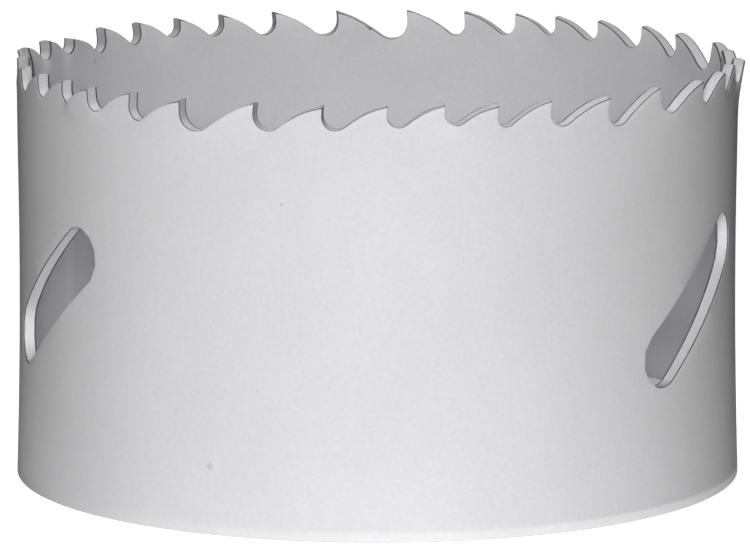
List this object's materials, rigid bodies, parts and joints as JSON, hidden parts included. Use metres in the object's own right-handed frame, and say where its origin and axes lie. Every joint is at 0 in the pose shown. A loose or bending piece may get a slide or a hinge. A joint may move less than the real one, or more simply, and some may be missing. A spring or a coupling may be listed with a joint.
{
  "type": "hole saw",
  "caption": "Cup-shaped bi-metal hole saw with variable-pitch teeth, slanted plug slots and a threaded, drilled back plate.",
  "frame": {"origin": "centre of the back face, on the saw's axis", "axes": "+Z along the saw's axis from the back face to the teeth; the picture looks along +Y, with +X to its right"},
  "size_m": [0.0757, 0.0757, 0.044],
  "materials": {
    "band_steel": "satin",
    "plate_steel": "satin",
    "weld_metal": "satin"
  },
  "bodies": {
    "root": {"cup_wall": "band_steel", "back_plate": "plate_steel", "weld_bead": "weld_metal"}
  },
  "joints": []
}
